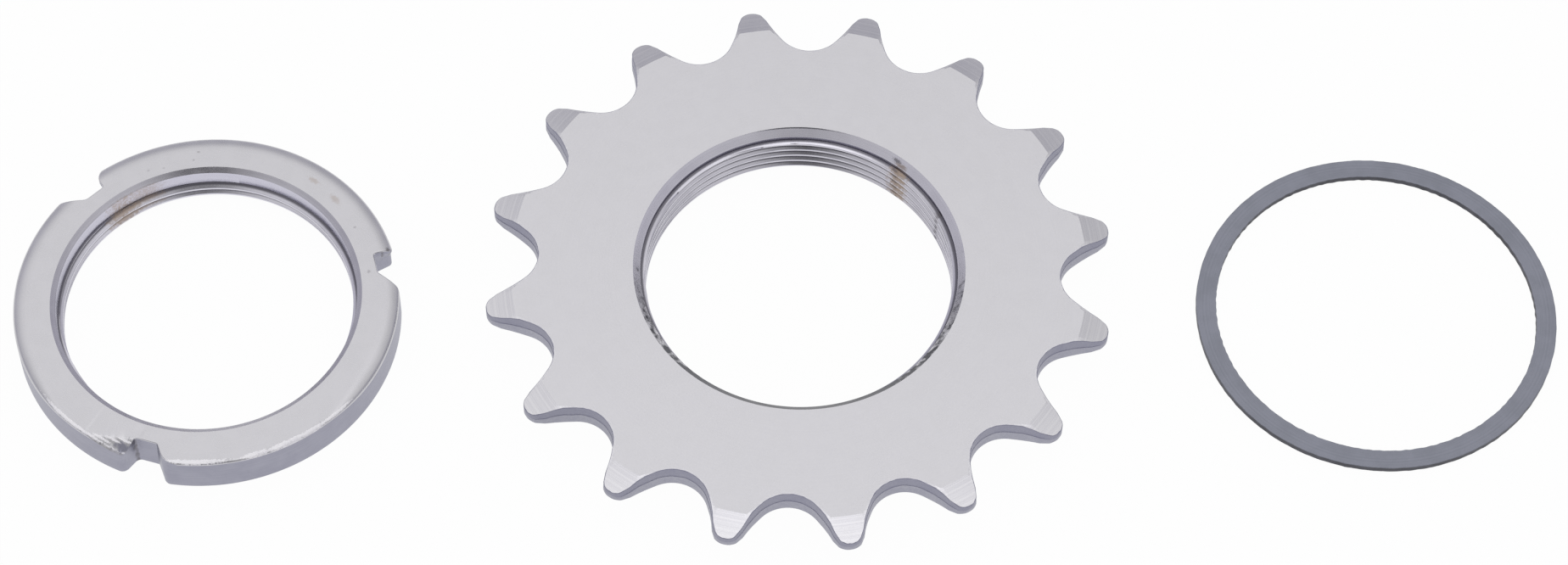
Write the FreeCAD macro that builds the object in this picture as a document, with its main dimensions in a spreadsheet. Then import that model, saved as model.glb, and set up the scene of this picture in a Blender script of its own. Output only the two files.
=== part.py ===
# Fixed gear sprocket with its lockring and spacer, laid out flat beside each other.
# Millimetres, +Z up. The origin is on the sprocket's axis, in the plane that all three pieces lie on.
import FreeCAD, Part
import math
import os

import Sketcher

doc = FreeCAD.newDocument("fixed_gear_sprocket_set")
sheet = doc.addObject("Spreadsheet::Sheet", "sizes")
next_row = 1


def put(alias, content):
    """Write one named cell in the sheet."""
    global next_row
    cell = "B%d" % next_row
    sheet.set("A%d" % next_row, alias)
    sheet.set(cell, content)
    sheet.setAlias(cell, alias)
    next_row += 1


def derive(alias, formula):
    """A size that follows from the driving ones."""
    put(alias, "=" + formula)


# Hub threads that the bores are cut for, both of 24 turns to the inch
hub_threads = {
    "hub_thread_diameter": 34.80,
    "lockring_thread_diameter": 32.77,
    "thread_height": 0.55,
}

# Chain that the teeth are cut for, half inch pitch, and the shape of the gap that it seats in
chain_and_teeth = {
    "chain_pitch": 12.7,
    "tooth_count": 16,
    "roller_seat_radius": 3.95,
    "seat_half_angle": 53.75,
    "tip_corner_radius": 1.0,
    "tip_radius": 34.5,
}

sprocket_blank_sizes = {
    "sprocket_width": 6.38,
    "tooth_thickness": 2.85,
    "bevel_width": 3.0,
    "bevel_depth": 0.75,
    "boss_wall": 4.65,
    "boss_edge_chamfer": 0.5,
    "boss_root_chamfer": 0.6,
    "mouth_chamfer_width": 1.34,
    "mouth_chamfer_depth": 1.2,
    "back_chamfer_width": 0.75,
    "back_chamfer_depth": 0.6,
    "sprocket_turn": 22.157,
}

lockring_sizes = {
    "lockring_wall": 5.165,
    "lockring_width": 4.75,
    "crown_width": 1.2,
    "crown_radius": 2.6,
    "rim_chamfer_width": 0.3,
    "rim_chamfer_drop": 0.4,
    "base_chamfer": 0.2,
    "lockring_mouth_width": 1.12,
    "lockring_mouth_depth": 0.76,
    "lockring_back_width": 0.8,
    "lockring_back_depth": 0.6,
    "notch_count": 3,
    "notch_depth": 2.2,
    "notch_half_width": 1.4,
    "notch_flare": 28.0,
    "notch_mouth_radius": 0.9,
    "notch_floor_corner": 0.4,
    "lockring_turn": 15.6,
}

spacer_sizes = {
    "hub_clearance": 0.27,
    "spacer_wall": 2.25,
    "spacer_thickness": 0.8,
    "spacer_edge_break": 0.08,
}

# Clear space between the pieces as they lie, and how far each lies off the sprocket's middle line
layout = {
    "lockring_gap": 9.0,
    "lockring_aside": -5.65,
    "spacer_gap": 9.44,
    "spacer_aside": 0.2,
}

# Margin by which a cutting outline runs out past the metal
cutting = {
    "cut_overrun": 2.0,
}

for group in (hub_threads, chain_and_teeth, sprocket_blank_sizes, lockring_sizes, spacer_sizes, layout, cutting):
    for alias, amount in group.items():
        put(alias, str(amount))

# Sprocket section, radius and height of each corner
derive("bore_radius", "hub_thread_diameter / 2 - thread_height")
derive("bore_back_radius", "bore_radius + back_chamfer_width")
derive("bore_mouth_radius", "bore_radius + mouth_chamfer_width")
derive("bore_mouth_height", "sprocket_width - mouth_chamfer_depth")
derive("boss_radius", "bore_radius + boss_wall")
derive("boss_face_radius", "boss_radius - boss_edge_chamfer")
derive("plate_underside", "sprocket_width - tooth_thickness")
derive("boss_root_height", "plate_underside - boss_root_chamfer")
derive("boss_root_reach", "boss_radius + boss_root_chamfer")
derive("bevel_start_radius", "tip_radius - bevel_width")
derive("tip_underside", "plate_underside + bevel_depth")
derive("tip_topside", "sprocket_width - bevel_depth")

# Tooth gap, with its middle on the X axis. The roller seat's arc runs into a straight flank,
# which runs into the rounded corner of the tooth's tip.
derive("pitch_radius", "chain_pitch / (2 * sin(180 / tooth_count))")
derive("seat_end_x", "pitch_radius - roller_seat_radius * cos(seat_half_angle)")
derive("seat_end_y", "roller_seat_radius * sin(seat_half_angle)")
derive("corner_reach", "tip_radius * 1.0006 - tip_corner_radius")
derive("corner_start_x", "seat_end_x - tip_corner_radius * cos(seat_half_angle)")
derive("corner_start_y", "seat_end_y + tip_corner_radius * sin(seat_half_angle)")
derive("corner_along", "corner_start_x * sin(seat_half_angle) + corner_start_y * cos(seat_half_angle)")
derive("corner_away", "corner_start_x ^ 2 + corner_start_y ^ 2 - corner_reach ^ 2")
derive("flank_length", "sqrt(corner_along ^ 2 - corner_away) - corner_along")
derive("flank_end_x", "seat_end_x + flank_length * sin(seat_half_angle)")
derive("flank_end_y", "seat_end_y + flank_length * cos(seat_half_angle)")
derive("corner_centre_x", "corner_start_x + flank_length * sin(seat_half_angle)")
derive("corner_centre_y", "corner_start_y + flank_length * cos(seat_half_angle)")
derive("corner_end_x", "corner_centre_x * (1 + tip_corner_radius / corner_reach)")
derive("corner_end_y", "corner_centre_y * (1 + tip_corner_radius / corner_reach)")
derive("gap_mouth_x", "corner_end_x * (1 + 2 * cut_overrun / tip_radius)")
derive("gap_mouth_y", "corner_end_y * (1 + 2 * cut_overrun / tip_radius)")

# Lockring section: the outer corner of its upper face is a long crown that ends in a small chamfer
derive("lock_bore_radius", "lockring_thread_diameter / 2 - thread_height")
derive("lockring_radius", "lock_bore_radius + lockring_wall")
derive("lock_back_radius", "lock_bore_radius + lockring_back_width")
derive("lock_mouth_radius", "lock_bore_radius + lockring_mouth_width")
derive("lock_mouth_height", "lockring_width - lockring_mouth_depth")
derive("base_chamfer_in", "lockring_radius - base_chamfer")
derive("rim_chamfer_in", "lockring_radius - rim_chamfer_width")
derive("crown_start", "rim_chamfer_in - crown_width")
derive("crown_drop", "crown_radius - sqrt(crown_radius ^ 2 - crown_width ^ 2)")
derive("crown_end_height", "lockring_width - crown_drop")
derive("rim_top_height", "crown_end_height - rim_chamfer_drop")

# Spanner notch of the lockring, with its middle on the X axis
derive("notch_floor_radius", "lockring_radius - notch_depth")
derive("floor_corner_reach", "notch_floor_corner * tan(45 - notch_flare / 2)")
derive("floor_end_y", "notch_half_width - floor_corner_reach")
derive("wall_start_x", "notch_floor_radius + floor_corner_reach * cos(notch_flare)")
derive("wall_start_y", "notch_half_width + floor_corner_reach * sin(notch_flare)")
derive("mouth_reach", "lockring_radius - notch_mouth_radius")
derive("mouth_start_x", "notch_floor_radius - notch_mouth_radius * sin(notch_flare)")
derive("mouth_start_y", "notch_half_width + notch_mouth_radius * cos(notch_flare)")
derive("mouth_along", "mouth_start_x * cos(notch_flare) + mouth_start_y * sin(notch_flare)")
derive("mouth_away", "mouth_start_x ^ 2 + mouth_start_y ^ 2 - (mouth_reach * 1.0006) ^ 2")
derive("wall_length", "sqrt(mouth_along ^ 2 - mouth_away) - mouth_along")
derive("wall_end_x", "notch_floor_radius + wall_length * cos(notch_flare)")
derive("wall_end_y", "notch_half_width + wall_length * sin(notch_flare)")
derive("mouth_centre_x", "mouth_start_x + wall_length * cos(notch_flare)")
derive("mouth_centre_y", "mouth_start_y + wall_length * sin(notch_flare)")
derive("mouth_end_x", "mouth_centre_x * (1 + notch_mouth_radius / mouth_reach)")
derive("mouth_end_y", "mouth_centre_y * (1 + notch_mouth_radius / mouth_reach)")
derive("notch_mouth_x", "mouth_end_x * (1 + cut_overrun / lockring_radius)")
derive("notch_mouth_y", "mouth_end_y * (1 + cut_overrun / lockring_radius)")

# Spacer
derive("spacer_bore_radius", "hub_thread_diameter / 2 + hub_clearance")
derive("spacer_radius", "spacer_bore_radius + spacer_wall")

# Where the pieces lie
derive("lockring_place", "-(tip_radius + lockring_gap + lockring_radius)")
derive("spacer_place", "tip_radius + spacer_gap + spacer_radius")

doc.recompute()


def value(expression):
    """The number that a cell holds; a leading minus mirrors it, and 0 stands for the axis."""
    if expression == "0":
        return 0.0
    sign = -1.0 if expression.startswith("-") else 1.0
    return sign * float(sheet.get(expression.lstrip("-")))


def bound(expression):
    """The same cell as a formula for a constraint."""
    sign = "-" if expression.startswith("-") else ""
    return sign + sheet.Name + "." + expression.lstrip("-")


def new_body(label):
    body = doc.addObject("PartDesign::Body", label)
    body.Label = label
    return body


def new_sketch(body, name, role):
    """An empty sketch on one of the body's origin planes."""
    sketch = body.newObject("Sketcher::SketchObject", name)
    plane = [item for item in body.Origin.OriginFeatures if item.Role == role][0]
    sketch.AttachmentSupport = [(plane, "")]
    sketch.MapMode = "FlatFace"
    doc.recompute()
    return sketch


def arc_between(start, end, radius, turn):
    """The shorter arc from start to end, and whether the sketch holds it end first.

    turn is "left" where the arc's centre is to the left of the way from start to end.
    """
    middle = (start + end) * 0.5
    along = end - start
    half = along.Length / 2
    aside = FreeCAD.Vector(-along.y, along.x, 0)
    aside.normalize()
    height = math.sqrt(max(radius ** 2 - half ** 2, 0.0))
    centre = middle + aside * (height if turn == "left" else -height)
    first, last = (start, end) if turn == "left" else (end, start)
    begin = math.atan2(first.y - centre.y, first.x - centre.x)
    finish = math.atan2(last.y - centre.y, last.x - centre.x)
    if finish < begin:
        finish += 2 * math.pi
    circle = Part.Circle(centre, FreeCAD.Vector(0, 0, 1), radius)
    return Part.ArcOfCircle(circle, begin, finish), turn != "left"


def draw_outline(sketch, corners, arcs):
    """Draw a closed outline whose corners and arc radii are bound to the sheet.

    corners lists the two coordinates of each corner. arcs gives, for the stretch that starts at
    a corner's index, the arc's radius and the side that its centre is on.
    """
    points = [FreeCAD.Vector(value(across), value(up), 0) for across, up in corners]
    count = len(points)
    ends = []
    for index in range(count):
        start = points[index]
        end = points[(index + 1) % count]
        if index in arcs:
            radius, turn = arcs[index]
            shape, swapped = arc_between(start, end, value(radius), turn)
        else:
            shape, swapped = Part.LineSegment(start, end), False
        line = sketch.addGeometry(shape, False)
        ends.append((line, 2, 1) if swapped else (line, 1, 2))
    for index in range(count):
        line, unused, tail = ends[index]
        following, head, unused = ends[(index + 1) % count]
        sketch.addConstraint(Sketcher.Constraint("Coincident", line, tail, following, head))
    for index in range(count):
        line, head, unused = ends[index]
        for kind, axis, expression in (("DistanceX", -2, corners[index][0]), ("DistanceY", -1, corners[index][1])):
            if expression == "0":
                sketch.addConstraint(Sketcher.Constraint("PointOnObject", line, head, axis))
            else:
                bind(sketch, Sketcher.Constraint(kind, -1, 1, line, head, value(expression)), expression)
    for index, (radius, unused) in arcs.items():
        bind(sketch, Sketcher.Constraint("Radius", ends[index][0], value(radius)), radius)
    doc.recompute()


def bind(sketch, constraint, expression):
    """Add a constraint and tie it to the sheet."""
    number = sketch.addConstraint(constraint)
    name = "size_%d" % number
    sketch.renameConstraint(number, name)
    sketch.setExpression("Constraints." + name, bound(expression))


def revolve(body, sketch, name):
    turned = body.newObject("PartDesign::Revolution", name)
    turned.Profile = sketch
    turned.ReferenceAxis = (sketch, ["V_Axis"])
    turned.Angle = 360
    doc.recompute()
    return turned


def cut_round(body, sketch, name, count):
    """Cut the sketched gap right through, upwards from the base plane, and repeat it about Z."""
    gap = body.newObject("PartDesign::Pocket", name)
    gap.Profile = sketch
    gap.Type = "ThroughAll"
    gap.Reversed = True
    doc.recompute()
    pattern = body.newObject("PartDesign::PolarPattern", name + "_round")
    pattern.Originals = [gap]
    pattern.Axis = (sketch, ["N_Axis"])
    pattern.Angle = 360
    pattern.setExpression("Occurrences", bound(count))
    body.Tip = pattern
    doc.recompute()
    return pattern


def lay(body, across, away, turn):
    """Place a body on the plane at a named place, turned about Z by a named angle."""
    body.Placement = FreeCAD.Placement(FreeCAD.Vector(0, 0, 0), FreeCAD.Rotation(FreeCAD.Vector(0, 0, 1), 1))
    if across:
        body.setExpression("Placement.Base.x", bound(across))
        body.setExpression("Placement.Base.y", bound(away))
    body.setExpression("Placement.Rotation.Angle", bound(turn))


# Sprocket: one turned blank with its boss underneath, bevelled at the tips of the teeth
sprocket = new_body("sprocket")
section = new_sketch(sprocket, "sprocket_section", "XZ_Plane")
draw_outline(
    section,
    [
        ("bore_back_radius", "0"),
        ("boss_face_radius", "0"),
        ("boss_radius", "boss_edge_chamfer"),
        ("boss_radius", "boss_root_height"),
        ("boss_root_reach", "plate_underside"),
        ("bevel_start_radius", "plate_underside"),
        ("tip_radius", "tip_underside"),
        ("tip_radius", "tip_topside"),
        ("bevel_start_radius", "sprocket_width"),
        ("bore_mouth_radius", "sprocket_width"),
        ("bore_radius", "bore_mouth_height"),
        ("bore_radius", "back_chamfer_depth"),
    ],
    {},
)
revolve(sprocket, section, "sprocket_blank")

# The gaps between the teeth, where the chain's rollers seat
gap_outline = new_sketch(sprocket, "tooth_gap_outline", "XY_Plane")
draw_outline(
    gap_outline,
    [
        ("seat_end_x", "-seat_end_y"),
        ("flank_end_x", "-flank_end_y"),
        ("corner_end_x", "-corner_end_y"),
        ("gap_mouth_x", "-gap_mouth_y"),
        ("gap_mouth_x", "gap_mouth_y"),
        ("corner_end_x", "corner_end_y"),
        ("flank_end_x", "flank_end_y"),
        ("seat_end_x", "seat_end_y"),
    ],
    {
        1: ("tip_corner_radius", "right"),
        5: ("tip_corner_radius", "right"),
        7: ("roller_seat_radius", "left"),
    },
)
cut_round(sprocket, gap_outline, "tooth_gap", "tooth_count")
lay(sprocket, None, None, "sprocket_turn")

# Lockring: turned, with three spanner notches milled in its rim
lockring = new_body("lockring")
section = new_sketch(lockring, "lockring_section", "XZ_Plane")
draw_outline(
    section,
    [
        ("lock_back_radius", "0"),
        ("base_chamfer_in", "0"),
        ("lockring_radius", "base_chamfer"),
        ("lockring_radius", "rim_top_height"),
        ("rim_chamfer_in", "crown_end_height"),
        ("crown_start", "lockring_width"),
        ("lock_mouth_radius", "lockring_width"),
        ("lock_bore_radius", "lock_mouth_height"),
        ("lock_bore_radius", "lockring_back_depth"),
    ],
    {4: ("crown_radius", "left")},
)
revolve(lockring, section, "lockring_blank")

notch_outline = new_sketch(lockring, "notch_outline", "XY_Plane")
draw_outline(
    notch_outline,
    [
        ("notch_floor_radius", "-floor_end_y"),
        ("wall_start_x", "-wall_start_y"),
        ("wall_end_x", "-wall_end_y"),
        ("mouth_end_x", "-mouth_end_y"),
        ("notch_mouth_x", "-notch_mouth_y"),
        ("notch_mouth_x", "notch_mouth_y"),
        ("mouth_end_x", "mouth_end_y"),
        ("wall_end_x", "wall_end_y"),
        ("wall_start_x", "wall_start_y"),
        ("notch_floor_radius", "floor_end_y"),
    ],
    {
        0: ("notch_floor_corner", "left"),
        2: ("notch_mouth_radius", "right"),
        6: ("notch_mouth_radius", "right"),
        8: ("notch_floor_corner", "left"),
    },
)
cut_round(lockring, notch_outline, "notch", "notch_count")
lay(lockring, "lockring_place", "lockring_aside", "lockring_turn")

# Spacer: a flat ring stamped from sheet, with its edges broken
spacer = new_body("spacer")
ring_outline = new_sketch(spacer, "ring_outline", "XY_Plane")
for radius in ("spacer_radius", "spacer_bore_radius"):
    circle = Part.Circle(FreeCAD.Vector(0, 0, 0), FreeCAD.Vector(0, 0, 1), value(radius))
    number = ring_outline.addGeometry(circle, False)
    ring_outline.addConstraint(Sketcher.Constraint("Coincident", number, 3, -1, 1))
    bind(ring_outline, Sketcher.Constraint("Radius", number, value(radius)), radius)
ring = spacer.newObject("PartDesign::Pad", "ring")
ring.Profile = ring_outline
ring.setExpression("Length", bound("spacer_thickness"))
doc.recompute()
round_edges = ["Edge%d" % (index + 1) for index, edge in enumerate(ring.Shape.Edges) if edge.isClosed()]
broken_edges = spacer.newObject("PartDesign::Chamfer", "broken_edges")
broken_edges.Base = (ring, round_edges)
broken_edges.setExpression("Size", bound("spacer_edge_break"))
spacer.Tip = broken_edges
spacer.setExpression("Placement.Base.x", bound("spacer_place"))
spacer.setExpression("Placement.Base.y", bound("spacer_aside"))

doc.recompute()

bodies = [sprocket, lockring, spacer]

for item in doc.Objects:
    if "Invalid" in item.State or "Error" in item.State:
        raise RuntimeError("%s is %s" % (item.Name, item.State))
for body in bodies:
    if body.Shape.isNull() or not body.Shape.isValid() or len(body.Shape.Solids) != 1:
        raise RuntimeError("%s has no single valid solid" % body.Label)
for body, blank in ((sprocket, "sprocket_blank"), (lockring, "lockring_blank")):
    if body.Shape.Volume >= doc.getObject(blank).Shape.Volume:
        raise RuntimeError("nothing was cut from %s" % body.Label)

os.makedirs("parts", exist_ok=True)
for body in bodies:
    body.Shape.exportStep("parts/%s.step" % body.Label)
    box = body.Shape.BoundBox
    print(
        body.Label,
        "volume %.2f" % body.Shape.Volume,
        "x %.3f to %.3f" % (box.XMin, box.XMax),
        "y %.3f to %.3f" % (box.YMin, box.YMax),
        "z %.3f to %.3f" % (box.ZMin, box.ZMax),
    )
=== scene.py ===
"""Looks of a fixed gear sprocket with its lockring and spacer, lying apart on a white table.

Lengths in the geometry are millimetres and become metres when a mesh is written.
"""

import math

import bmesh
import bpy
import numpy as np
from mathutils import Matrix, Vector


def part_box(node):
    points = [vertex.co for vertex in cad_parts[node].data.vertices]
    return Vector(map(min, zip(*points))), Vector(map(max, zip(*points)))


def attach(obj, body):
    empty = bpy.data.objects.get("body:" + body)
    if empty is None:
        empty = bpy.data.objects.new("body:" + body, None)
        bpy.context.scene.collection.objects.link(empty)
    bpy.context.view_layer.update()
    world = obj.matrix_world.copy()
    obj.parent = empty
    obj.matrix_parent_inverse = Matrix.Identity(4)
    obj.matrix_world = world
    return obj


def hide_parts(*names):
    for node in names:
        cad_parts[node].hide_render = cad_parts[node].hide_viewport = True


MILLIMETRE = 0.001
FULL_TURN = 2 * math.pi

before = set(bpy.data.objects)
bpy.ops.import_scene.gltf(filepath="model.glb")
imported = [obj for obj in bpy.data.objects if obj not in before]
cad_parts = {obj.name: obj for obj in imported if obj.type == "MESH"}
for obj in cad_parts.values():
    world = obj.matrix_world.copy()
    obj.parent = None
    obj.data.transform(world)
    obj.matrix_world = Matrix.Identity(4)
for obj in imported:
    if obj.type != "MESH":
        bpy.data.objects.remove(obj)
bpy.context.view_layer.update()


def frame_size(node):
    """Centre on the table, outer radius and height of a node that stands on the table, in millimetres."""
    low, high = (np.array(corner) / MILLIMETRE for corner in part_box(node))
    middle = (low + high) / 2
    return middle[:2], (high[0] - low[0]) / 2, high[2]


# Both hub threads have 24 turns to the inch. A relief runs out into its thread over a short cone
THREAD_PITCH = 25.4 / 24
THREAD_HEIGHT = 0.55
RELIEF_CONE = 0.1

# Sprocket
SPROCKET_TEETH = 16
CHAIN_PITCH = 12.7
SPROCKET_BORE = 16.85
SPROCKET_TURN = math.radians(22.157)
SPROCKET_WIDTH = frame_size("sprocket")[2]
TOOTH_THICKNESS = 2.85
TIP_RADIUS = 34.5
TIP_CORNER = 1.0
ROLLER_SEAT = 3.95
SEAT_HALF_ANGLE = math.radians(53.75)
BEVEL_WIDTH = 3.0
BEVEL_DEPTH = 0.75
BOSS_RADIUS = 21.5
BOSS_ROOT = 0.6
BOSS_EDGE = 0.5
# Wear of each flank: radius at its middle, half its reach, and how far it stands out of the clean form
FLANK_WEAR = ((33.45, 1.1, 0.17), (31.3, 1.2, -0.08))
# Depth below the face and width of the opening: a countersink runs into a relief as deep as the thread
SPROCKET_MOUTH = ((0.0, 1.34), (0.79, 0.55), (1.3, 0.53))
# Width and height of the chamfer at the base
SPROCKET_BACK = (0.75, 0.6)
# Height of a thread crest at the middle of the bore's far side
SPROCKET_CREST = 0.6
# Radius of each row between the bore and the teeth, and how far inside the edge the last one lies
SPROCKET_ROWS = (18.6, 21.5, 24.5, 27.4)
EDGE_STRIP = 0.16
# The line where the wall was sheared: half its height, and how far the metal below stands out
SHEAR_HALF_LINE = 0.03
SHEAR_STEP = 0.045

# Lockring
LOCKRING_CENTRE, LOCKRING_RADIUS, LOCKRING_WIDTH = frame_size("lockring")
LOCKRING_BORE = 15.835
LOCKRING_TURN = math.radians(15.6)
LOCKRING_MOUTH = ((0.0, 1.12), (0.387, 0.55), (2.1, 0.53))
LOCKRING_BACK = (0.8, 0.6)
LOCKRING_CREST = 0.94
LOCKRING_FLAT = 17.3
SHOULDER_INSET = 0.36
CROWN_WIDTH = 1.5
NOTCHES = 3
NOTCH_FLOOR = LOCKRING_RADIUS - 2.2

# The spanner has worn each side of each notch differently. A side's form is half width, flare in
# degrees, radius at the foot and radius at the mouth. Each notch lists its clockwise and then its
# counterclockwise side, first as they are at the base and then where the upper edge was pushed.
NOTCH_SIDES = (
    (((1.1, 48, 0.6, 1.6), (1.7, 17, 0.4, 0.5)), ((1.1, 50, 0.6, 1.6), (1.3, 4, 0.25, 0.42))),
    (((1.35, 24, 0.4, 0.9), (1.45, 48, 0.9, 1.5)), ((1.0, 0, 0.3, 1.7), (1.5, 52, 1.0, 1.5))),
    (((1.25, 22, 0.7, 0.9), (1.1, 37, 0.3, 0.8)), ((1.2, 18, 0.3, 0.6), (1.25, 36, 0.3, 2.3))),
)
PUSHED_HEIGHTS = (1.8, 4.3)

# Line, from the lockring's axis, past which the corner beside the near notch is beaten down
CRUSHED_LINE = ((-9.0, -17.9), (-5.95, -18.1))
CRUSHED_SLOPE = 0.5

# Spacer
SPACER_CENTRE, SPACER_RADIUS, SPACER_THICKNESS = frame_size("spacer")
SPACER_BORE = 17.67

# Camera: found by fitting the three pieces to the photograph's frame
FRAME_WIDTH, FRAME_HEIGHT = 1848, 666
FOCAL_PIXELS = 5280.3
CAMERA_ELEVATION = math.radians(58.466)
CAMERA_ROLL = math.radians(1.995)
CAMERA_DISTANCE = 495.37
VIEW_CENTRE = (940.8, 349.1)


# Outlines seen from above. Each is a list of points with the direction that leads out of the metal.

def polar(radius, angle):
    return np.stack([radius * np.cos(angle), radius * np.sin(angle)], axis=-1)


def arc(centre, radius, first, last, steps, hollow=False):
    """Points on an arc, without its last. The metal is outside a hollow arc's circle."""
    angle = first + (last - first) * np.arange(steps) / steps
    out = polar(1.0, angle)
    return np.array(centre) + radius * out, -out if hollow else out


def straight(start, end, steps):
    """Points on a line that runs counterclockwise round the metal, without its last."""
    start, end = np.array(start), np.array(end)
    along = (end - start) / np.linalg.norm(end - start)
    share = np.arange(steps)[:, None] / steps
    out = np.tile([along[1], -along[0]], (steps, 1))
    return start + share * (end - start), out


def joined(stretches):
    return tuple(np.concatenate(part) for part in zip(*stretches))


def mirrored(stretch, last):
    """A stretch that ends at the point last, mirrored in the X axis and run the other way."""
    points = np.concatenate([stretch[0], [last[0]]])[1:]
    out = np.concatenate([stretch[1], [last[1]]])[1:]
    flip = np.array([1, -1])
    return points[::-1] * flip, out[::-1] * flip


def repeated(stretch, count, turn):
    """The stretch laid round the axis count times, with the first one's middle at the angle turn."""
    made = []
    for index in range(count):
        angle = turn + index * FULL_TURN / count
        spin = np.array([[math.cos(angle), math.sin(angle)], [-math.sin(angle), math.cos(angle)]])
        made.append((stretch[0] @ spin, stretch[1] @ spin))
    return joined(made)


def corner_distance(start, direction, centre_reach):
    """How far along a line from start a circle of that reach about the axis is met."""
    along = start @ direction
    return math.sqrt(along ** 2 - start @ start + centre_reach ** 2) - along


def sprocket_outline():
    """Roller seat, straight flank, rounded tip corner and tip, from one tooth's middle to the next."""
    pitch_radius = CHAIN_PITCH / (2 * math.sin(math.pi / SPROCKET_TEETH))
    beta = SEAT_HALF_ANGLE
    seat_centre = np.array([pitch_radius, 0.0])
    seat_end = seat_centre + ROLLER_SEAT * np.array([-math.cos(beta), math.sin(beta)])
    flank = np.array([math.sin(beta), math.cos(beta)])
    to_centre = TIP_CORNER * np.array([-math.cos(beta), math.sin(beta)])
    length = corner_distance(seat_end + to_centre, flank, TIP_RADIUS - TIP_CORNER)
    flank_end = seat_end + length * flank
    corner_centre = flank_end + to_centre
    corner_turn = math.atan2(corner_centre[1], corner_centre[0])
    tip_middle = math.pi / SPROCKET_TEETH
    half = joined([
        arc(seat_centre, ROLLER_SEAT, math.pi, math.pi - beta, 10, hollow=True),
        straight(seat_end, flank_end, 4),
        arc(corner_centre, TIP_CORNER, -beta, corner_turn, 9),
        arc((0, 0), TIP_RADIUS, corner_turn, tip_middle, 4),
    ])
    tip = (polar(TIP_RADIUS, tip_middle), polar(1.0, tip_middle))
    other = mirrored(half, tip)
    return repeated(joined([other, half]), SPROCKET_TEETH, SPROCKET_TURN)


def notch_side(form):
    """Half a notch, from its floor's middle to the middle of the rim beside it."""
    half_width, flare, foot_radius, mouth_radius = form
    flare = math.radians(flare)
    wall = np.array([math.cos(flare), math.sin(flare)])
    wall_out = np.array([math.sin(flare), -math.cos(flare)])
    foot = foot_radius * math.tan(math.pi / 4 - flare / 2)
    floor_end = np.array([NOTCH_FLOOR, half_width - foot])
    wall_start = np.array([NOTCH_FLOOR, half_width]) + foot * wall
    foot_centre = floor_end + np.array([foot_radius, 0.0])
    mouth_line = wall_start - mouth_radius * wall_out
    length = corner_distance(mouth_line, wall, LOCKRING_RADIUS - mouth_radius)
    wall_end = wall_start + length * wall
    mouth_centre = mouth_line + length * wall
    mouth_turn = math.atan2(mouth_centre[1], mouth_centre[0])
    rim_end = math.pi / NOTCHES
    half = joined([
        straight((NOTCH_FLOOR, 0.0), floor_end, 5),
        arc(foot_centre, foot_radius, math.pi, math.pi / 2 + flare, 5, hollow=True),
        straight(wall_start, wall_end, 9),
        arc(mouth_centre, mouth_radius, flare - math.pi / 2, mouth_turn, 9),
        arc((0, 0), LOCKRING_RADIUS, mouth_turn, rim_end, 130),
    ])
    return half, (polar(LOCKRING_RADIUS, rim_end), polar(1.0, rim_end))


def lockring_outline(level):
    """The three notches and the rim, at the base for level 0 and at the upper edge for level 1."""
    made = []
    for index, sides in enumerate(NOTCH_SIDES):
        before, last = notch_side(sides[level][0])
        after, _ = notch_side(sides[level][1])
        angle = LOCKRING_TURN + index * FULL_TURN / NOTCHES
        made.append(repeated(joined([mirrored(before, last), after]), 1, angle))
    return joined(made)


# Uneven edges: smooth seeded noise that closes on itself round a ring

def uneven(angle, seed, waves, count=24):
    """Noise round a ring, about -1 to 1, from waves[0] to waves[1] waves to the turn."""
    chance = np.random.RandomState(seed)
    total = np.zeros_like(angle)
    for _ in range(count):
        wave = chance.randint(waves[0], waves[1] + 1)
        total += math.sqrt(2.0 / count) * np.sin(wave * angle + chance.uniform(0, FULL_TURN))
    return np.clip(total / 1.6, -1, 1)


# Threaded bores

# Thread section over one turn: share of the pitch from a crest's middle, and share of the height cut away
THREAD_SECTION = (
    (0.0, 0.0), (0.105, 0.0), (0.14, 0.05), (0.28, 0.52), (0.41, 0.96),
    (0.46, 1.0), (0.54, 1.0), (0.59, 0.96), (0.72, 0.52), (0.86, 0.05), (0.895, 0.0),
)


def threaded_bore(angle, bore, mouth, width, back, crest_height, hand):
    """Rows of points up a threaded bore, one row of heights to each column of the outline.

    The rows follow the helix, so the crests are clean. A row that runs out past the base or up
    into the mouth stays on that edge. hand is 1 for a right-hand thread and -1 for a left-hand one.
    """
    relief_depth, relief = mouth[-1]
    width = width - relief_depth
    share = np.array([step[0] for step in THREAD_SECTION])
    cut = np.array([step[1] for step in THREAD_SECTION])
    turns = np.arange(-2, math.ceil(width / THREAD_PITCH) + 3)
    rise = np.concatenate([(turn + share) for turn in turns]) * THREAD_PITCH
    turned = (angle - math.pi / 2) / FULL_TURN * THREAD_PITCH * hand
    height = np.clip(crest_height + turned[:, None] + rise[None, :], 0.0, width)
    below = np.flatnonzero(height.max(axis=0) <= 0.0)
    above = np.flatnonzero(height.min(axis=0) >= width)
    height = height[:, below[-1]:above[0] + 1]
    phase = ((height - crest_height - turned[:, None]) / THREAD_PITCH) % 1.0
    thread = bore + THREAD_HEIGHT * np.interp(phase, np.append(share, 1.0), np.append(cut, 0.0))
    from_base = back[0] * (1 - height / back[1])
    to_relief = relief * (1 - (width - height) / RELIEF_CONE)
    radius = np.maximum(thread, bore + np.maximum(to_relief, from_base))
    points = polar(radius, np.broadcast_to(angle[:, None], radius.shape))
    return np.concatenate([points, height[..., None]], axis=-1)


# Meshes

def ring_of(points, height):
    """One row round the piece, as points in space."""
    return np.column_stack([points, np.broadcast_to(height, len(points))])


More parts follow.
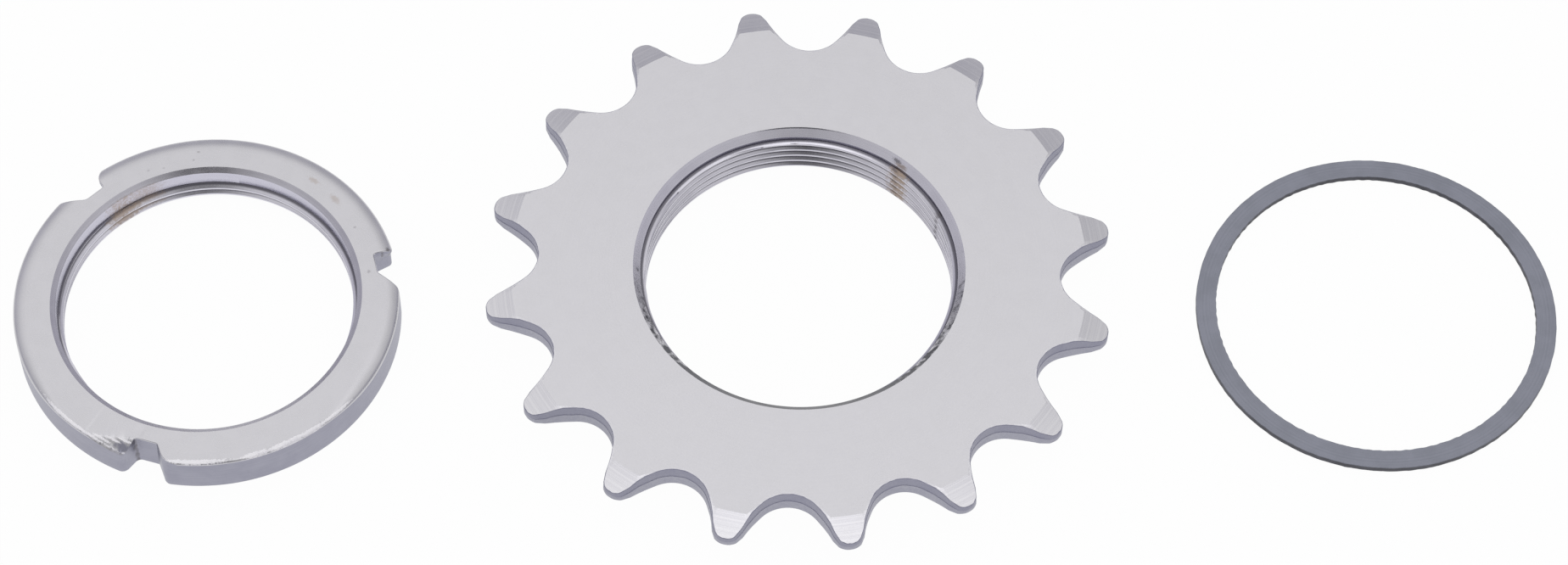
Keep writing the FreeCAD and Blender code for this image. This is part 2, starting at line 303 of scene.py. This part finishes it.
def write_mesh(name, rows, bands, materials, centre, bore=None, hand=1):
    """Skin a piece from its rows of points and put it in the place of its node.

    rows run from the bore's upper edge out over the face, down the wall and back underneath.
    bands holds the material number of each strip between two rows. The bore's rows follow, and
    take the thread's material. Across the seam, a row along the helix meets the one a turn on.
    """
    steps = len(rows)
    grid = np.stack(rows, axis=1)
    follow = np.arange(steps)
    numbers = np.array(bands)
    if bore is not None:
        count = bore.shape[1]
        beyond = np.clip(np.arange(count) + hand * len(THREAD_SECTION), 0, count - 1)
        grid = np.concatenate([grid, bore], axis=1)
        follow = np.concatenate([follow, steps + beyond])
        numbers = np.concatenate([numbers, np.full(count, THREAD)])
    columns, steps = grid.shape[:2]
    here = np.arange(columns)[:, None] * steps + np.arange(steps)
    there = np.concatenate([here[1:], follow[None, :]])
    faces = np.stack([here[:, :-1], here[:, 1:], there[:, 1:], there[:, :-1]], axis=-1)
    faces = faces.reshape(-1, 4)
    numbers = np.tile(numbers[:steps - 1], columns).astype(np.int32)
    points = (grid + [centre[0], centre[1], 0.0]) * MILLIMETRE
    mesh = bpy.data.meshes.new(name)
    mesh.from_pydata(points.reshape(-1, 3).tolist(), [], faces.tolist())
    mesh.polygons.foreach_set("material_index", numbers)
    mesh.polygons.foreach_set("use_smooth", np.ones(len(mesh.polygons), bool))
    skin = bmesh.new()
    skin.from_mesh(mesh)
    bmesh.ops.remove_doubles(skin, verts=skin.verts, dist=1e-7)
    skin.to_mesh(mesh)
    skin.free()
    for material in materials:
        mesh.materials.append(material)
    mesh.set_sharp_from_angle(angle=math.radians(12))
    piece = bpy.data.objects.new(name + "_metal", mesh)
    bpy.context.scene.collection.objects.link(piece)
    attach(piece, "root")
    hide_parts(name)


def quarter_round(size, steps):
    """Inset and drop of each point on a rounded edge, from the face to the wall."""
    turn = np.linspace(0, math.pi / 2, steps + 1)
    return [(size * (1 - math.sin(step)), size * (1 - math.cos(step))) for step in turn]


def smooth_step(value, low, high):
    share = np.clip((value - low) / (high - low), 0, 1)
    return share * share * (3 - 2 * share)


# Material numbers, in the order that each piece lists its materials
FACE, WALL, THREAD, CHAMFER, RELIEF, BEVEL, SHEAR = range(7)


def build_sprocket(materials):
    points, out = sprocket_outline()
    reach = np.linalg.norm(points, axis=1)
    wear = sum(height * hump(reach, middle, half) for middle, half, height in FLANK_WEAR)
    points = points + out * wear[:, None]
    angle = np.unwrap(np.arctan2(points[:, 1], points[:, 0]))
    bevel_start = TIP_RADIUS - BEVEL_WIDTH
    slope = BEVEL_DEPTH / BEVEL_WIDTH
    underside = SPROCKET_WIDTH - TOOTH_THICKNESS
    mouth_edge = SPROCKET_BORE + SPROCKET_MOUTH[0][1]
    back_edge = SPROCKET_BORE + SPROCKET_BACK[0]
    inner_flat = SPROCKET_ROWS[-1]

    def inset(depth):
        return points - out * np.broadcast_to(depth, len(points))[:, None]

    def bevel(spot):
        return slope * np.clip(np.linalg.norm(spot, axis=1) - bevel_start, 0, None)

    def bevel_ring():
        """The bevel's own line on the teeth, and a line just inside the edge in the gaps."""
        start, end = polar(inner_flat, angle), inset(EDGE_STRIP)
        near, far = inner_flat, np.linalg.norm(end, axis=1)
        share = np.clip((bevel_start - near) / (far - near), 0, 0.94)
        return start + (end - start) * share[:, None]

    edge = 0.07 + 0.025 * uneven(angle, 3, (40, 400))
    rows, bands = [], []

    def add(spot, height, band):
        rows.append(ring_of(spot, height))
        bands.append(band)

    for (depth, opening), band in zip(SPROCKET_MOUTH[:0:-1], (RELIEF, CHAMFER)):
        add(polar(SPROCKET_BORE + opening, angle), SPROCKET_WIDTH - depth, band)
    for radius in (mouth_edge, *SPROCKET_ROWS):
        add(polar(radius, angle), SPROCKET_WIDTH, FACE)
    add(bevel_ring(), SPROCKET_WIDTH, BEVEL)
    add(inset(EDGE_STRIP), SPROCKET_WIDTH - bevel(inset(EDGE_STRIP)), BEVEL)
    top = SPROCKET_WIDTH - bevel(points)
    base = underside + bevel(points)
    for depth, drop in quarter_round(1.0, 3):
        add(inset(edge * depth), SPROCKET_WIDTH - bevel(inset(edge * depth)) - edge * drop, WALL)
    # The wall is sheared in two bands, and the lower one stands a little further out in the gaps
    in_gap = 1 - smooth_step(reach, 33.6, 34.4)
    tear = (top + base) / 2 + 0.07 * uneven(angle, 5, (20, 160))
    for share in (0.33, 0.67):
        add(points, (top - edge) * (1 - share) + (tear + SHEAR_HALF_LINE) * share, WALL)
    add(points, tear + SHEAR_HALF_LINE, WALL)
    add(inset(-SHEAR_STEP * in_gap), tear - SHEAR_HALF_LINE, SHEAR)
    for share in (0.33, 0.67, 1.0):
        height = (tear - SHEAR_HALF_LINE) * (1 - share) + (base + 0.06) * share
        add(inset(-(SHEAR_STEP + SHEAR_STEP * share) * in_gap), height, SHEAR)
    add(inset(0.04), base, FACE)
    add(inset(EDGE_STRIP), underside + bevel(inset(EDGE_STRIP)), FACE)
    add(bevel_ring(), underside, FACE)
    add(polar(SPROCKET_ROWS[-2], angle), underside, FACE)
    add(polar(BOSS_RADIUS + BOSS_ROOT, angle), underside, FACE)
    add(polar(BOSS_RADIUS, angle), underside - BOSS_ROOT, FACE)
    add(polar(BOSS_RADIUS, angle), BOSS_EDGE, FACE)
    add(polar(BOSS_RADIUS - BOSS_EDGE, angle), 0.0, FACE)
    add(polar(back_edge, angle), 0.0, THREAD)
    form = (SPROCKET_BORE, SPROCKET_MOUTH, SPROCKET_WIDTH, SPROCKET_BACK, SPROCKET_CREST)
    bore = threaded_bore(angle, *form, 1)
    write_mesh("sprocket", rows, bands, materials, (0, 0), bore, 1)


def rim_drop(radius, squeeze):
    """How far the lockring's upper face has fallen at a radius: a long crown, then a small corner.

    squeeze, from 0 to 1, draws the crown together towards the rim.
    """
    crown_radius, crown_reach = 2.6, 1.2
    turn = math.asin(crown_reach / crown_radius)
    corner = (CROWN_WIDTH - crown_reach) / (1 - math.sin(turn))
    from_rim = (LOCKRING_RADIUS - radius) / (1 - 0.8 * squeeze)
    on_crown = np.clip(CROWN_WIDTH - from_rim, 0, crown_reach)
    fall = crown_radius - np.sqrt(crown_radius ** 2 - on_crown ** 2)
    on_corner = np.clip(corner - from_rim, corner * math.sin(turn), corner)
    fall += corner * math.cos(turn) - np.sqrt(np.clip(corner ** 2 - on_corner ** 2, 0, None))
    return fall * (1 - 0.7 * squeeze)


def hump(value, middle, half_width):
    """A smooth bump from 0 to 1 and back round a middle."""
    return np.clip(1 - ((value - middle) / half_width) ** 2, 0, 1) ** 2


# Burred stretches of the lockring's near edge: middle and half width in degrees round the ring,
# and height of the burr in millimetres
BURRS = (
    (238, 10, 0.05), (247.5, 4.5, 0.12), (276, 8, 0.06),
    (291, 4, 0.12), (302, 7, 0.15), (311, 6, 0.09),
)


def build_lockring(materials):
    base, base_out = lockring_outline(0)
    upper, upper_out = lockring_outline(1)
    reach = np.linalg.norm(upper, axis=1)
    angle = np.unwrap(np.arctan2(base[:, 1], base[:, 0]))
    mouth_edge = LOCKRING_BORE + LOCKRING_MOUTH[0][1]
    back_edge = LOCKRING_BORE + LOCKRING_BACK[0]
    on_rim = smooth_step(reach, LOCKRING_RADIUS - 0.5, LOCKRING_RADIUS - 0.1)
    degrees = np.degrees(angle) % 360
    near = smooth_step(degrees, 205, 235) * (1 - smooth_step(degrees, 310, 335))
    rough = 0.5 + 0.5 * uneven(angle, 21, (60, 420))
    burr = sum(height * hump(degrees, middle, half) for middle, half, height in BURRS)
    burr = burr * (0.35 + 0.9 * rough)
    wander = 0.06 * near * uneven(angle, 22, (30, 260))
    rows, bands = [], []

    def inset(depth, height=LOCKRING_WIDTH):
        share = np.broadcast_to(smooth_step(height, *PUSHED_HEIGHTS), len(base))[:, None]
        spot = base + (upper - base) * share
        out = base_out + (upper_out - base_out) * share
        out = out / np.linalg.norm(out, axis=1)[:, None]
        return spot - out * np.broadcast_to(depth, len(spot))[:, None]

    def add(spot, height, band):
        rows.append(ring_of(spot, height))
        bands.append(band)

    def crushed(spot):
        """The corner beside the near notch, beaten down to a slope."""
        first, second = CRUSHED_LINE
        along = np.array(second) - np.array(first)
        side = np.array([along[1], -along[0]]) / np.linalg.norm(along)
        past = (spot - np.array(first)) @ side
        return LOCKRING_WIDTH - 0.02 - CRUSHED_SLOPE * np.clip(past, 0, None)

    def face_height(spot, depth=1.0):
        """Height of the upper face, with a small rounding along the notches and the near burrs."""
        rounding = 0.14
        inward = np.clip(rounding - depth, 0, rounding)
        drop = (rounding - math.sqrt(rounding ** 2 - inward ** 2)) * (1 - on_rim)
        radius = np.linalg.norm(spot, axis=1)
        ridge = burr * hump(radius, LOCKRING_RADIUS - 0.2 + wander, 0.2)
        height = LOCKRING_WIDTH - rim_drop(radius, near) - drop + ridge
        return np.where(beside_notch, np.minimum(height, crushed(spot) + ridge), height)

    beside_notch = (degrees > 236) & (degrees < 254)
    start = polar(LOCKRING_FLAT, angle)
    shoulder = inset(SHOULDER_INSET)
    for (depth, opening), band in zip(LOCKRING_MOUTH[:0:-1], (RELIEF, CHAMFER)):
        add(polar(LOCKRING_BORE + opening, angle), LOCKRING_WIDTH - depth, band)
    add(polar(mouth_edge, angle), LOCKRING_WIDTH, FACE)
    add(start, LOCKRING_WIDTH, FACE)
    for share in (0.36, 0.55, 0.68, 0.77, 0.84, 0.9, 0.95):
        spot = start + (shoulder - start) * share
        add(spot, face_height(spot), FACE)
    for depth in (SHOULDER_INSET, 0.3, 0.24, 0.18, 0.13, 0.09, 0.05, 0.02):
        add(inset(depth), face_height(inset(depth), depth), FACE)
    top = face_height(inset(0.0), 0.0)
    corner = 0.2
    for share in (0.0, 0.12, 0.25, 0.4, 0.55, 0.7, 0.85, 1.0):
        height = top * (1 - share) + corner * share
        add(inset(0.0, height), height, WALL)
    for depth, drop in quarter_round(corner, 3)[-2::-1]:
        add(inset(depth, 0.0), drop, WALL)
    add(start, 0.0, FACE)
    add(polar(back_edge, angle), 0.0, THREAD)
    form = (LOCKRING_BORE, LOCKRING_MOUTH, LOCKRING_WIDTH, LOCKRING_BACK, LOCKRING_CREST)
    bore = threaded_bore(angle, *form, -1)
    write_mesh("lockring", rows, bands, materials, LOCKRING_CENTRE, bore, -1)


def build_spacer(materials):
    angle = np.linspace(0, FULL_TURN, 720, endpoint=False)
    outer = SPACER_RADIUS - 0.02 + 0.02 * uneven(angle, 11, (3, 90))
    inner = SPACER_BORE + 0.03 + 0.03 * uneven(angle, 12, (3, 120))
    edge = 0.07 + 0.02 * uneven(angle, 13, (20, 200))
    rows, bands = [], []

    def add(radius, height, band):
        rows.append(ring_of(polar(radius, angle), height))
        bands.append(band)

    rounding = quarter_round(1.0, 3)
    for depth, drop in rounding[::-1]:
        add(inner + edge * depth, SPACER_THICKNESS - edge * drop, FACE)
    add(inner + 0.3, SPACER_THICKNESS, FACE)
    add(outer - 0.3, SPACER_THICKNESS, FACE)
    for depth, drop in rounding:
        add(outer - edge * depth, SPACER_THICKNESS - edge * drop, FACE)
    bands[-1] = WALL
    for depth, drop in rounding[::-1]:
        add(outer - edge * depth, edge * drop, WALL)
    add(outer - 0.3, 0.0, FACE)
    add(inner + 0.3, 0.0, FACE)
    for depth, drop in rounding:
        add(inner + edge * depth, edge * drop, WALL)
    rows.append(rows[0])
    write_mesh("spacer", rows, bands, materials, SPACER_CENTRE)


# Finishes

class Graph:
    """A node graph, emptied, with the few kinds of node that the metals and the room need."""

    def __init__(self, owner):
        owner.use_nodes = True
        self.tree = owner.node_tree
        self.tree.nodes.clear()

    def node(self, kind, inputs=None, **settings):
        made = self.tree.nodes.new(kind)
        for name, setting in settings.items():
            setattr(made, name, setting)
        for socket, content in (inputs or {}).items():
            if isinstance(content, bpy.types.NodeSocket):
                self.tree.links.new(content, made.inputs[socket])
            else:
                made.inputs[socket].default_value = content
        return made

    def maths(self, operation, first, second=0.0, third=0.0):
        inputs = {0: first, 1: second, 2: third}
        return self.node("ShaderNodeMath", inputs, operation=operation).outputs[0]

    def step(self, content, low, high, start=0.0, end=1.0):
        """A smooth change from start to end as content goes from low to high."""
        inputs = {"Value": content, "From Min": low, "From Max": high, "To Min": start, "To Max": end}
        return self.node("ShaderNodeMapRange", inputs, interpolation_type="SMOOTHSTEP").outputs[0]

    def noise(self, place, scale, detail=3.0, roughness=0.5):
        inputs = {"Vector": place, "Scale": scale, "Detail": detail, "Roughness": roughness}
        return self.node("ShaderNodeTexNoise", inputs).outputs["Fac"]

    def blend(self, amount, first, second, mode="MIX"):
        """Colours mixed by an amount from 0 to 1."""
        made = self.node("ShaderNodeMix", data_type="RGBA", blend_type=mode)
        for socket, content in ((0, amount), (6, first), (7, second)):
            if isinstance(content, bpy.types.NodeSocket):
                self.tree.links.new(content, made.inputs[socket])
            else:
                made.inputs[socket].default_value = content
        return made.outputs[2]


def colour(red, green, blue):
    return (red, green, blue, 1.0)


TARNISH = colour(0.34, 0.26, 0.20)
SOOT = colour(0.12, 0.11, 0.12)
# Near white for torn metal on the lockring's edge, largely a painted highlight
TORN_AND_HIGHLIGHT = colour(0.97, 0.96, 0.98)
BRUISED = colour(0.33, 0.33, 0.40)
# Near black for painted shade on the sprocket's countersink
PAINTED_SHADE = colour(0.06, 0.06, 0.075)
STEEL = colour(0.64, 0.635, 0.66)
STEEL_DIM = colour(0.615, 0.61, 0.635)
# Painted shade for the thread roots
ROOT_SHADE = colour(0.16, 0.155, 0.18)


def ring_place(graph, centre):
    """Place on a piece in millimetres from its own axis: the point, radius, angle and height."""
    place = graph.node("ShaderNodeTexCoord").outputs["Object"]
    shift = {0: place, 1: (centre[0] * MILLIMETRE, centre[1] * MILLIMETRE, 0.0)}
    moved = graph.node("ShaderNodeVectorMath", shift, operation="SUBTRACT").outputs[0]
    scaled = {0: moved, "Scale": 1 / MILLIMETRE}
    local = graph.node("ShaderNodeVectorMath", scaled, operation="SCALE").outputs[0]
    east, north, up = graph.node("ShaderNodeSeparateXYZ", {0: local}).outputs
    square = graph.maths("MULTIPLY", north, north)
    radius = graph.maths("SQRT", graph.maths("MULTIPLY_ADD", east, east, square))
    angle = graph.maths("ARCTAN2", north, east)
    return local, radius, angle, up


def mark(graph, place, radius, angle, spot):
    """An uneven mark on a ring, 1 inside it and 0 outside.

    spot is its radius and angle in degrees round the axis, its half length round the ring and
    its half width across it, in millimetres.
    """
    middle, turn, length, width = spot
    turn = math.radians((turn + 180) % 360 - 180)
    round_ring = graph.maths("MULTIPLY", graph.maths("SUBTRACT", angle, turn), middle / length)
    across = graph.maths("DIVIDE", graph.maths("SUBTRACT", radius, middle), width)
    square = graph.maths("MULTIPLY", across, across)
    away = graph.maths("SQRT", graph.maths("MULTIPLY_ADD", round_ring, round_ring, square))
    ragged = graph.maths("SUBTRACT", graph.noise(place, 1.2 / width, 3.0, 0.6), 0.5)
    return graph.step(graph.maths("MULTIPLY_ADD", ragged, 1.6, away), 0.3, 1.15, 1.0, 0.0)


def turned_metal(name, centre, tone, dark, roughness, lines=0.5, bump=1.0, marks=(), band=None):
    """Bare turned steel: fine lines round the axis, a soft mottle, and grain in gloss and height.

    marks lists colour, strength and spot of each mark: stains, painted shade and painted highlights. band is
    the radius past which the metal is rougher and painted darker as shade in the thread roots, the width
    over which it sets in, and the colour of that painted shade.
    """
    material = bpy.data.materials.new(name)
    graph = Graph(material)
    place, radius, angle, up = ring_place(graph, centre)
    wander = graph.maths("MULTIPLY", graph.noise(place, 0.08, 2.0), 0.3)
    across = graph.maths("ADD", radius, wander)
    lathe = graph.node("ShaderNodeCombineXYZ", {0: across, 1: 0.0, 2: up}).outputs[0]
    turned = graph.noise(lathe, 5.0, 4.0, 0.65)
    mottle = graph.noise(place, 0.5, 4.0)
    fine = graph.noise(place, 9.0, 3.0)
    soft = graph.maths("MULTIPLY", mottle, 1 - lines)
    shade = graph.maths("MULTIPLY_ADD", turned, lines, soft)
    base = graph.blend(graph.step(shade, 0.35, 0.65), dark, tone)
    uneven_gloss = graph.maths("MULTIPLY_ADD", fine, 0.6, graph.maths("MULTIPLY", mottle, 0.4))
    gloss = graph.step(uneven_gloss, 0.3, 0.7, roughness - 0.05, roughness + 0.06)
    if band is not None:
        edge, width, root_shade_colour = band
        # Painted shade: the metal darkens towards the thread roots, and it is also rougher there
        beyond = graph.step(graph.maths("MULTIPLY_ADD", fine, 0.08, radius), edge, edge + width)
        base = graph.blend(beyond, base, root_shade_colour)
        gloss = graph.maths("MULTIPLY_ADD", beyond, 0.15, gloss)
    metallic = 1.0
    for mark_colour, strength, spot in marks:
        amount = graph.maths("MULTIPLY", mark(graph, place, radius, angle, spot), strength)
        amount = graph.maths("MINIMUM", amount, 1.0)
        base = graph.blend(amount, base, mark_colour)
        # A torn mark is mostly a painted highlight: near white, less metallic and rougher
        if mark_colour == TORN_AND_HIGHLIGHT:
            metallic = graph.maths("MULTIPLY_ADD", amount, -0.75, metallic)
            gloss = graph.maths("MULTIPLY_ADD", amount, 0.2, gloss)
    height = graph.maths("MULTIPLY_ADD", turned, 2 * lines, fine)
    raised = {"Height": height, "Strength": 0.35 * bump, "Distance": 0.01 * MILLIMETRE}
    normal = graph.node("ShaderNodeBump", raised).outputs[0]
    metal = {"Base Color": base, "Roughness": gloss, "Metallic": metallic, "Normal": normal}
    shader = graph.node("ShaderNodeBsdfPrincipled", metal)
    graph.node("ShaderNodeOutputMaterial", {"Surface": shader.outputs[0]})
    return material


# Room

def build_floor():
    """A pale table top. The camera and reflections see it near white, and it keeps the shadows."""
    mesh = bpy.data.meshes.new("table_top")
    half, level = 3.0, -0.00003
    corners = [(-half, -half, level), (half, -half, level), (half, half, level), (-half, half, level)]
    mesh.from_pydata(corners, [], [(0, 1, 2, 3)])
    floor = bpy.data.objects.new("table_top", mesh)
    bpy.context.scene.collection.objects.link(floor)
    material = bpy.data.materials.new("table_white")
    mesh.materials.append(material)
    graph = Graph(material)
    rays = graph.node("ShaderNodeLightPath").outputs
    seen = graph.maths("MAXIMUM", rays["Is Camera Ray"], rays["Is Glossy Ray"])
    seen = graph.maths("MAXIMUM", seen, rays["Is Transmission Ray"])
    paper = graph.node("ShaderNodeBsdfDiffuse", {"Color": colour(0.95, 0.95, 0.95)})
    light = graph.node("ShaderNodeEmission", {"Color": colour(1.0, 1.0, 1.0), "Strength": 1.0})
    share = graph.maths("MULTIPLY", seen, 0.97)
    mixed = graph.node("ShaderNodeMixShader", {0: share, 1: paper.outputs[0], 2: light.outputs[0]})
    graph.node("ShaderNodeOutputMaterial", {"Surface": mixed.outputs[0]})


# Brightness of the studio's walls and ceiling: sine of the height above the horizon, and level
STUDIO_LEVELS = (
    (0.0, 0.60), (0.2, 0.58), (0.48, 0.58), (0.73, 0.76), (0.85, 0.90), (0.95, 1.15), (1.0, 1.6),
)

# Lighter and darker places in the studio: azimuth, elevation and half width in degrees, and gain
STUDIO_PLACES = ((90, 56, 22, 0.16), (140, 40, 18, 0.3), (-90, 56, 19, -0.98))


def build_world():
    """An evenly lit studio, brightest overhead, with a lighter corner and a dark doorway."""
    world = bpy.data.worlds.new("studio")
    bpy.context.scene.world = world
    graph = Graph(world)
    place = graph.node("ShaderNodeTexCoord").outputs["Generated"]
    sine = graph.node("ShaderNodeSeparateXYZ", {0: place}).outputs[2]
    ramp = graph.node("ShaderNodeFloatCurve", {"Value": sine})
    curve = ramp.mapping.curves[0]
    top = STUDIO_LEVELS[-1][1]
    curve.points[0].location = (0.0, STUDIO_LEVELS[0][1] / top)
    curve.points[1].location = (1.0, 1.0)
    for height, level in STUDIO_LEVELS[1:-1]:
        curve.points.new(height, level / top)
    ramp.mapping.update()
    strength = graph.maths("MULTIPLY", ramp.outputs[0], top)
    for azimuth, elevation, width, gain in STUDIO_PLACES:
        azimuth, elevation, width = (math.radians(turn) for turn in (azimuth, elevation, width))
        flat = math.cos(elevation)
        towards = (flat * math.cos(azimuth), flat * math.sin(azimuth), math.sin(elevation))
        aligned = {0: place, 1: towards}
        cosine = graph.node("ShaderNodeVectorMath", aligned, operation="DOT_PRODUCT").outputs["Value"]
        away = graph.maths("DIVIDE", graph.maths("SUBTRACT", cosine, 1.0), 1 - math.cos(width))
        glow = graph.maths("EXPONENT", away)
        strength = graph.maths("MULTIPLY", strength, graph.maths("MULTIPLY_ADD", glow, gain, 1.0))
    hue = graph.blend(graph.step(sine, 0.3, 0.8), colour(0.97, 0.96, 1.06), colour(1.0, 0.995, 1.0))
    back = graph.node("ShaderNodeBackground", {"Color": hue, "Strength": strength})
    graph.node("ShaderNodeOutputWorld", {"Surface": back.outputs[0]})


def build_camera():
    camera = bpy.data.cameras.new("camera")
    camera.sensor_fit = "HORIZONTAL"
    camera.sensor_width = 36.0
    camera.lens = FOCAL_PIXELS / FRAME_WIDTH * camera.sensor_width
    camera.shift_x = (FRAME_WIDTH / 2 - VIEW_CENTRE[0]) / FRAME_WIDTH
    camera.shift_y = (VIEW_CENTRE[1] - FRAME_HEIGHT / 2) / FRAME_WIDTH
    camera.clip_start, camera.clip_end = 0.01, 20.0
    seat = bpy.data.objects.new("camera", camera)
    bpy.context.scene.collection.objects.link(seat)
    rise, fall = math.sin(CAMERA_ELEVATION), math.cos(CAMERA_ELEVATION)
    away = Vector((0.0, -fall, rise))
    level, upright = Vector((1.0, 0.0, 0.0)), Vector((0.0, rise, fall))
    right = level * math.cos(CAMERA_ROLL) + upright * math.sin(CAMERA_ROLL)
    upward = upright * math.cos(CAMERA_ROLL) - level * math.sin(CAMERA_ROLL)
    turn = Matrix((right, upward, away)).transposed().to_4x4()
    turn.translation = away * CAMERA_DISTANCE * MILLIMETRE
    seat.matrix_world = turn
    bpy.context.scene.camera = seat


sprocket_thread_marks = [
    (TARNISH, 0.85, (17.1, 51.6, 1.5, 0.4)),
    (SOOT, 0.7, (17.2, 53.3, 0.6, 0.22)),
    (SOOT, 0.6, (17.2, 28, 0.5, 0.5)),
]
sprocket_chamfer_marks = [
    # Painted shade: a dark band on the near side of the countersink and a thin dark line along its upper
    # edge on the far side, both fixed on the part
    (PAINTED_SHADE, 1.6, (17.85, 270, 24.0, 1.1)),
    (PAINTED_SHADE, 0.9, (18.16, 92, 5.5, 0.09)),
    (SOOT, 0.7, (17.8, 54.0, 0.7, 0.2)),
    (TARNISH, 0.7, (17.6, 51.5, 0.9, 0.25)),
]
sprocket_metals = [
    turned_metal("sprocket_face", (0, 0), STEEL, STEEL_DIM, 0.32, 0.3, 0.6),
    # Painted shade: the wall is a darker, lilac copy of the steel, standing for the shaded floor it reflects
    turned_metal("sprocket_wall", (0, 0), colour(0.34, 0.34, 0.41), colour(0.28, 0.28, 0.36), 0.45),
    turned_metal("sprocket_thread", (0, 0), colour(0.64, 0.63, 0.69), colour(0.56, 0.55, 0.61), 0.14,
                 bump=0.3, marks=sprocket_thread_marks, band=(SPROCKET_BORE + 0.2, 0.22, ROOT_SHADE)),
    turned_metal("sprocket_chamfer", (0, 0), colour(0.80, 0.79, 0.83), colour(0.70, 0.69, 0.73), 0.26,
                 0.7, 0.5, marks=sprocket_chamfer_marks),
    turned_metal("sprocket_relief", (0, 0), colour(0.48, 0.47, 0.54), colour(0.40, 0.39, 0.46), 0.26,
                 0.7, 0.5, marks=sprocket_thread_marks),
    turned_metal("sprocket_bevel", (0, 0), colour(0.66, 0.655, 0.68), colour(0.57, 0.565, 0.60), 0.22,
                 0.85, 0.8),
    # Painted shade: the sheared band is also a darker, lilac copy of the steel, and it is rougher as well
    turned_metal("sprocket_shear", (0, 0), colour(0.43, 0.43, 0.49), colour(0.35, 0.35, 0.42), 0.45),
]
build_sprocket(sprocket_metals)

lockring_face_marks = [
    (TARNISH, 0.35, (18.7, 56.3, 0.9, 0.35)),
    (TARNISH, 0.35, (18.5, 45.4, 1.0, 0.4)),
    (SOOT, 0.3, (18.2, 32.0, 0.2, 0.2)),
    (SOOT, 0.3, (17.9, 12.9, 0.25, 0.25)),
    (SOOT, 0.35, (19.0, 98.2, 0.22, 0.14)),
    (SOOT, 0.35, (18.0, 100.1, 0.16, 0.14)),
    (SOOT, 0.25, (18.0, 116.4, 0.2, 0.15)),
    (SOOT, 0.25, (17.7, 111.0, 0.2, 0.12)),
    (BRUISED, 1.2, (20.2, 249.5, 1.1, 0.6)),
    # Torn metal at the beaten corner and along the near rim, painted as near-white, barely metallic
    # highlights where the edge glints
    (TORN_AND_HIGHLIGHT, 2.4, (20.35, 242.5, 1.2, 0.14)),
    (TORN_AND_HIGHLIGHT, 2.4, (19.9, 245.8, 0.9, 0.13)),
    (TORN_AND_HIGHLIGHT, 2.4, (19.5, 249.6, 0.9, 0.13)),
    (TORN_AND_HIGHLIGHT, 2.6, (20.72, 231.0, 4.6, 0.2)),
    (TORN_AND_HIGHLIGHT, 2.8, (20.66, 272.5, 3.6, 0.3)),
    (TORN_AND_HIGHLIGHT, 2.4, (20.72, 290.6, 1.7, 0.36)),
    (TORN_AND_HIGHLIGHT, 2.4, (20.72, 300.5, 2.8, 0.36)),
    (TORN_AND_HIGHLIGHT, 2.2, (20.75, 309.0, 1.8, 0.28)),
    (TORN_AND_HIGHLIGHT, 2.2, (20.75, 317.0, 2.6, 0.18)),
    (SOOT, 0.7, (20.5, 20.0, 0.3, 0.3)),
]
lockring_wall_marks = [
    (SOOT, 0.7, (19.3, 252.0, 0.22, 0.7)),
    (SOOT, 0.6, (19.8, 19.8, 0.2, 0.2)),
    (SOOT, 0.5, (20.7, 20.5, 0.3, 0.3)),
]
lockring_bore_marks = [
    (TARNISH, 0.75, (16.1, 131, 2.6, 0.42)),
    (TARNISH, 0.5, (16.2, 120, 2.6, 0.3)),
]
lockring_metals = [
    turned_metal("lockring_face", LOCKRING_CENTRE, colour(0.60, 0.595, 0.62),
                 colour(0.575, 0.57, 0.595), 0.30, 0.2, 0.6, marks=lockring_face_marks),
    # Painted shade: the wall is a darker, lilac copy of the steel, standing for the shaded floor it reflects
    turned_metal("lockring_wall", LOCKRING_CENTRE, colour(0.37, 0.37, 0.44), colour(0.31, 0.31, 0.38), 0.38,
                 marks=lockring_wall_marks),
    turned_metal("lockring_thread", LOCKRING_CENTRE, colour(0.70, 0.69, 0.76), colour(0.64, 0.63, 0.69), 0.2,
                 bump=0.3, marks=lockring_bore_marks, band=(LOCKRING_BORE + 0.22, 0.26, ROOT_SHADE)),
    turned_metal("lockring_chamfer", LOCKRING_CENTRE, colour(0.58, 0.57, 0.62), colour(0.50, 0.49, 0.54),
                 0.28, 0.7, 0.5, marks=lockring_bore_marks),
    turned_metal("lockring_relief", LOCKRING_CENTRE, colour(0.62, 0.61, 0.70), colour(0.56, 0.55, 0.64),
                 0.28, 0.7, 0.5, marks=lockring_bore_marks),
]
build_lockring(lockring_metals)

spacer_metals = [
    turned_metal("spacer_face", SPACER_CENTRE, colour(0.28, 0.29, 0.34), colour(0.23, 0.24, 0.28), 0.42),
    turned_metal("spacer_wall", SPACER_CENTRE, colour(0.12, 0.12, 0.14), colour(0.06, 0.06, 0.07), 0.5),
]
build_spacer(spacer_metals)

build_floor()
build_world()
build_camera()
bpy.context.scene.view_settings.view_transform = "Standard"
